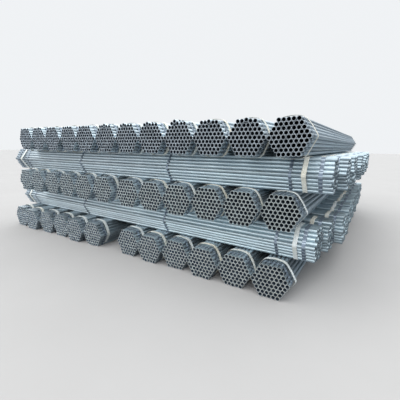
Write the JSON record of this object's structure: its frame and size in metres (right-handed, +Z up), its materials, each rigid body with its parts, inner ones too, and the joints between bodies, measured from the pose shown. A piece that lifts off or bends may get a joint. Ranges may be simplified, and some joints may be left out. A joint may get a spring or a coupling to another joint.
{
  "type": "stack of steel tubes",
  "caption": "Stack of round galvanised steel tubes tied into hexagonal bundles, laid in crossed layers, with steel straps and webbing lifting slings.",
  "frame": {"origin": "centre of the stack's base, on the floor", "axes": "+X to the right along the front, +Y from the front to the back, +Z up"},
  "size_m": [6.3095, 6.083, 1.9613],
  "materials": {
    "galvanised_tube": "galvanised, light blue-grey with fine spangle",
    "steel_strap": "zinc-coated band, satin",
    "sling_webbing": "undyed woven polyester webbing, slightly soiled"
  },
  "bodies": {
    "root": {"layer_1_left_tubes": "galvanised_tube", "layer_1_right_tubes": "galvanised_tube", "layer_2_front_tubes": "galvanised_tube", "layer_2_back_tubes": "galvanised_tube", "layer_3_left_tubes": "galvanised_tube", "layer_3_right_tubes": "galvanised_tube", "layer_4_front_tubes": "galvanised_tube", "layer_4_back_tubes": "galvanised_tube", "layer_5_left_tubes": "galvanised_tube", "layer_5_right_tubes": "galvanised_tube", "layer_1_straps": "steel_strap", "layer_2_straps": "steel_strap", "layer_3_straps": "steel_strap", "layer_4_straps": "steel_strap", "layer_5_straps": "steel_strap", "layer_1_slings": "sling_webbing", "layer_2_slings": "sling_webbing", "layer_3_slings": "sling_webbing", "layer_4_slings": "sling_webbing", "layer_5_slings": "sling_webbing"}
  },
  "joints": []
}
